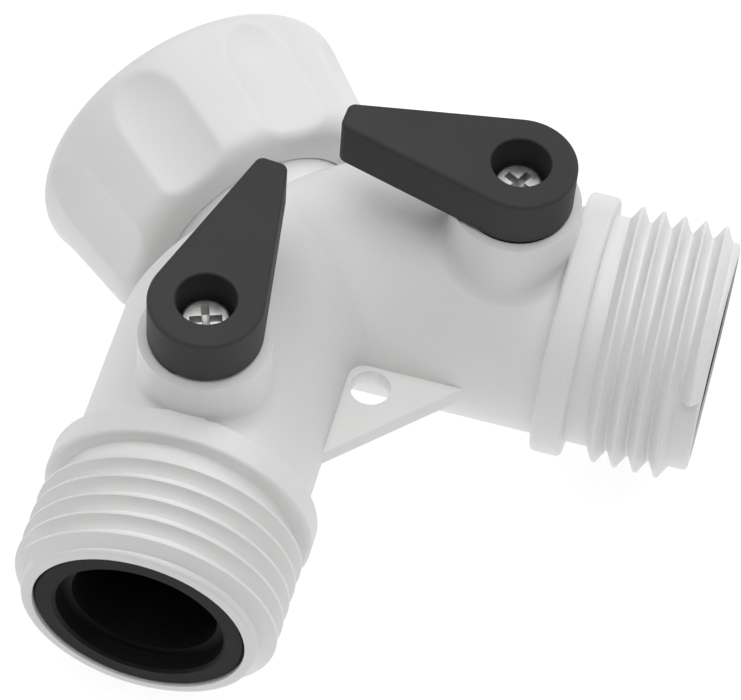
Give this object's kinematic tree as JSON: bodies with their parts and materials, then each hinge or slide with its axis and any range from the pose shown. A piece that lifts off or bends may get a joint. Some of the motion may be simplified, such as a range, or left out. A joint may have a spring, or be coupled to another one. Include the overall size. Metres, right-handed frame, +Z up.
{
  "type": "hose splitter",
  "caption": "Garden hose Y splitter: swivel nut inlet, threaded outlets at right angles, and a lever-operated ball valve on each outlet.",
  "frame": {"origin": "centre of the inlet nut's mouth", "axes": "+Y points out of the inlet along the nut's axis, +Z points up through the levers, +X is the side of the right outlet; both legs lie in the XY plane at 45 degrees to -Y"},
  "size_m": [0.084, 0.06, 0.0417],
  "materials": {
    "white_plastic": "satin moulded white polypropylene, fine texture",
    "white_plastic_nut": "satin moulded white plastic",
    "black_plastic": "charcoal moulded plastic with a fine grain",
    "black_plastic_ring": "black moulded plastic",
    "black_rubber": "matt black rubber",
    "zinc_plated_steel": "bright zinc plate",
    "white_acetal": "smooth natural acetal",
    "black_acetal": "polished black plastic",
    "seat_plastic": "waxy dark grey low-friction plastic"
  },
  "bodies": {
    "casing": {"valve_body": "white_plastic", "left_inner_seat": "seat_plastic", "left_outer_seat": "seat_plastic", "left_seat_retainer": "black_plastic_ring", "left_retainer_o_ring": "black_rubber", "right_inner_seat": "seat_plastic", "right_outer_seat": "seat_plastic", "right_seat_retainer": "black_plastic_ring", "right_retainer_o_ring": "black_rubber"},
    "inlet_nut": {"swivel_nut": "white_plastic_nut", "inlet_washer": "black_rubber"},
    "left_valve": {"left_lever": "black_plastic", "left_lever_screw": "zinc_plated_steel", "left_stem": "white_acetal", "left_stem_o_ring_lower": "black_rubber", "left_stem_o_ring_upper": "black_rubber", "left_ball": "black_acetal"},
    "right_valve": {"right_lever": "black_plastic", "right_lever_screw": "zinc_plated_steel", "right_stem": "white_acetal", "right_stem_o_ring_lower": "black_rubber", "right_stem_o_ring_upper": "black_rubber", "right_ball": "black_acetal"}
  },
  "joints": [
    {"name": "inlet_nut_turn", "type": "hinge", "parent": "casing", "child": "inlet_nut", "pos_m": [0, 0, 0], "axis": [0, 1, 0], "continuous": true},
    {"name": "left_lever_turn", "type": "hinge", "parent": "casing", "child": "left_valve", "pos_m": [-0.01768, -0.03568, 0.0182], "axis": [0, 0, -1], "range_deg": [-4.9, 85.1]},
    {"name": "right_lever_turn", "type": "hinge", "parent": "casing", "child": "right_valve", "pos_m": [0.01768, -0.03568, 0.0182], "axis": [0, 0, -1], "range_deg": [-2.9, 87.1]}
  ]
}
